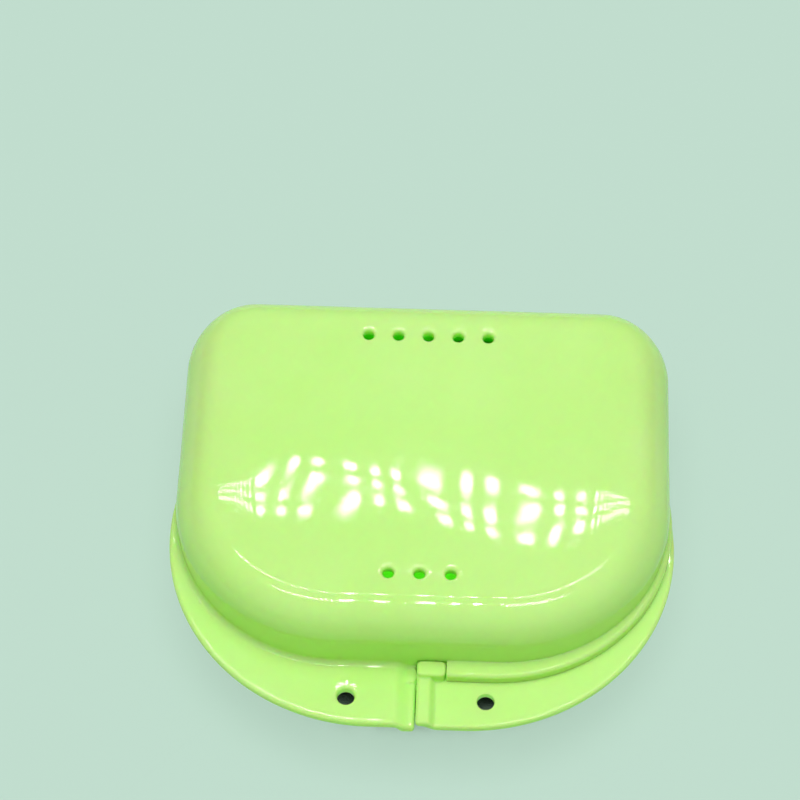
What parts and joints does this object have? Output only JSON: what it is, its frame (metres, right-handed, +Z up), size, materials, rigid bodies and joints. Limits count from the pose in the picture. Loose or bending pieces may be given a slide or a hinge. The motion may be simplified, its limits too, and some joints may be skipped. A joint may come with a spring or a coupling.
{
  "type": "denture case",
  "caption": "Hinged pocket case for a denture or retainer: identical domed halves with rounded crowns, front tabs with cord holes, vents and hook hinges.",
  "frame": {"origin": "middle of the underside of the closed case, on the surface that it stands on", "axes": "+Z up, -Y towards the front tabs where the case opens, +X to the viewer's right; the hinge axis runs along X at the back"},
  "size_m": [0.0832, 0.0798, 0.026],
  "materials": {
    "green_plastic_base": "glossy, slightly translucent light green polypropylene",
    "green_plastic_lid": "glossy, slightly translucent light green polypropylene"
  },
  "bodies": {
    "base": {"base": "green_plastic_base"},
    "lid": {"lid": "green_plastic_lid"}
  },
  "joints": [
    {"name": "lid_hinge", "type": "hinge", "parent": "base", "child": "lid", "pos_m": [0, 0.03765, 0.013], "axis": [-1, 0, 0], "range_deg": [0, 180]}
  ]
}
